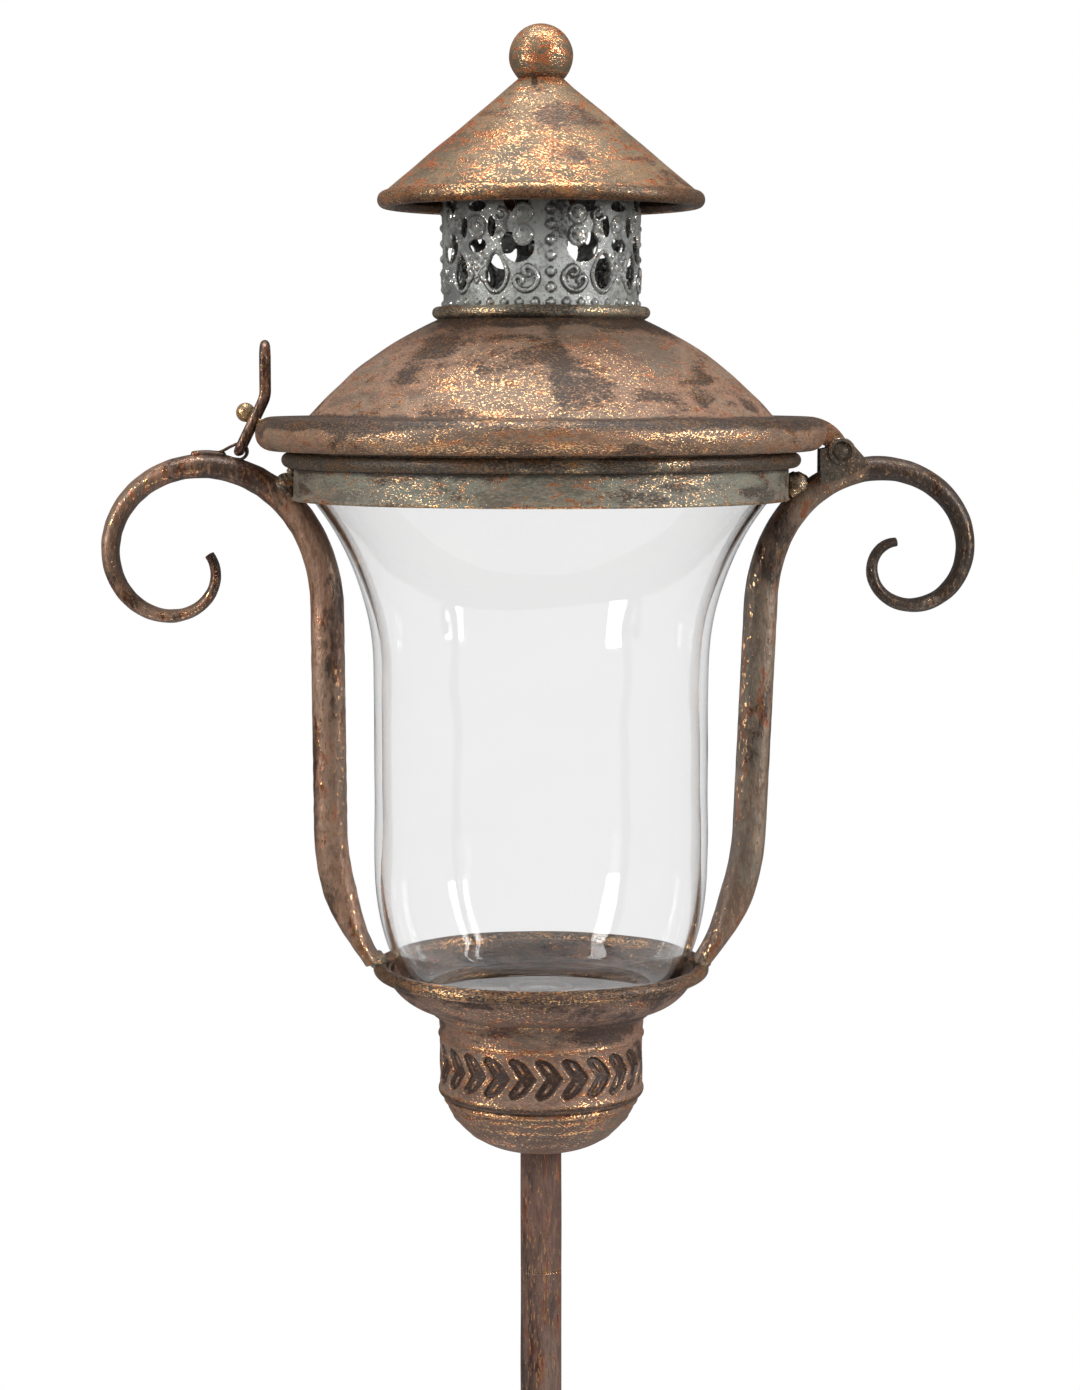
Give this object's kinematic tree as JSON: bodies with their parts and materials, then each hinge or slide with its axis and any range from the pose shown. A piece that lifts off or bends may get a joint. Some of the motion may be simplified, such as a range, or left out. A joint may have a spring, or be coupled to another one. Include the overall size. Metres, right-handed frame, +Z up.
{
  "type": "candle lantern on a garden stake",
  "caption": "Garden candle lantern on a plug-together stake: hurricane glass in a dish between scrolled arms, under a hinged lid with a pierced chimney.",
  "frame": {"origin": "on the pole's axis at ground level, where the round spike enters the foot of the pole", "axes": "+Z up along the pole; +X towards the lid's hinge and -X towards its latch; the front faces -Y"},
  "size_m": [0.2502, 0.1628, 1.1495],
  "materials": {
    "aged_copper": "hand-rubbed aged copper paint, satin with bright rubs",
    "pierced_metal": "grey zinc with copper wear",
    "clear_glass": "clear, smooth",
    "dark_steel": "darkened plain steel",
    "plated_screw": "zinc plated"
  },
  "bodies": {
    "frame": {"ground_spike": "dark_steel", "pole_lower": "aged_copper", "pole_spigot_lower": "dark_steel", "pole_upper": "aged_copper", "pole_spigot_upper": "dark_steel", "pole_stub": "aged_copper", "stub_insert": "dark_steel", "cup": "aged_copper", "dish": "aged_copper", "dish_washer": "plated_screw", "dish_screw": "plated_screw", "base_ring": "aged_copper", "arm_right": "aged_copper", "arm_left": "aged_copper", "collar_tie_right": "aged_copper", "collar_tie_left": "aged_copper", "collar_band": "aged_copper", "collar_bead_wire": "dark_steel", "glass_shade": "clear_glass", "hinge_bracket": "aged_copper", "hinge_pin": "aged_copper", "latch_bracket": "aged_copper"},
    "lid": {"lid_dome": "aged_copper", "chimney_base_ring": "aged_copper", "chimney_band": "pierced_metal", "roof_cone": "aged_copper", "roof_edge_wire": "dark_steel", "finial_screw": "plated_screw", "finial_ball": "aged_copper", "hinge_strap": "aged_copper", "latch_stud": "aged_copper"},
    "latch": {"latch_bail": "aged_copper"}
  },
  "joints": [
    {"name": "lid_hinge", "type": "hinge", "parent": "frame", "child": "lid", "pos_m": [0.0854, 0, 0.8392], "axis": [0, 1, 0], "range_deg": [0, 105]},
    {"name": "latch_swing", "type": "hinge", "parent": "frame", "child": "latch", "pos_m": [-0.0863, 0, 0.8391], "axis": [0, -1, 0], "range_deg": [0, 105]}
  ]
}
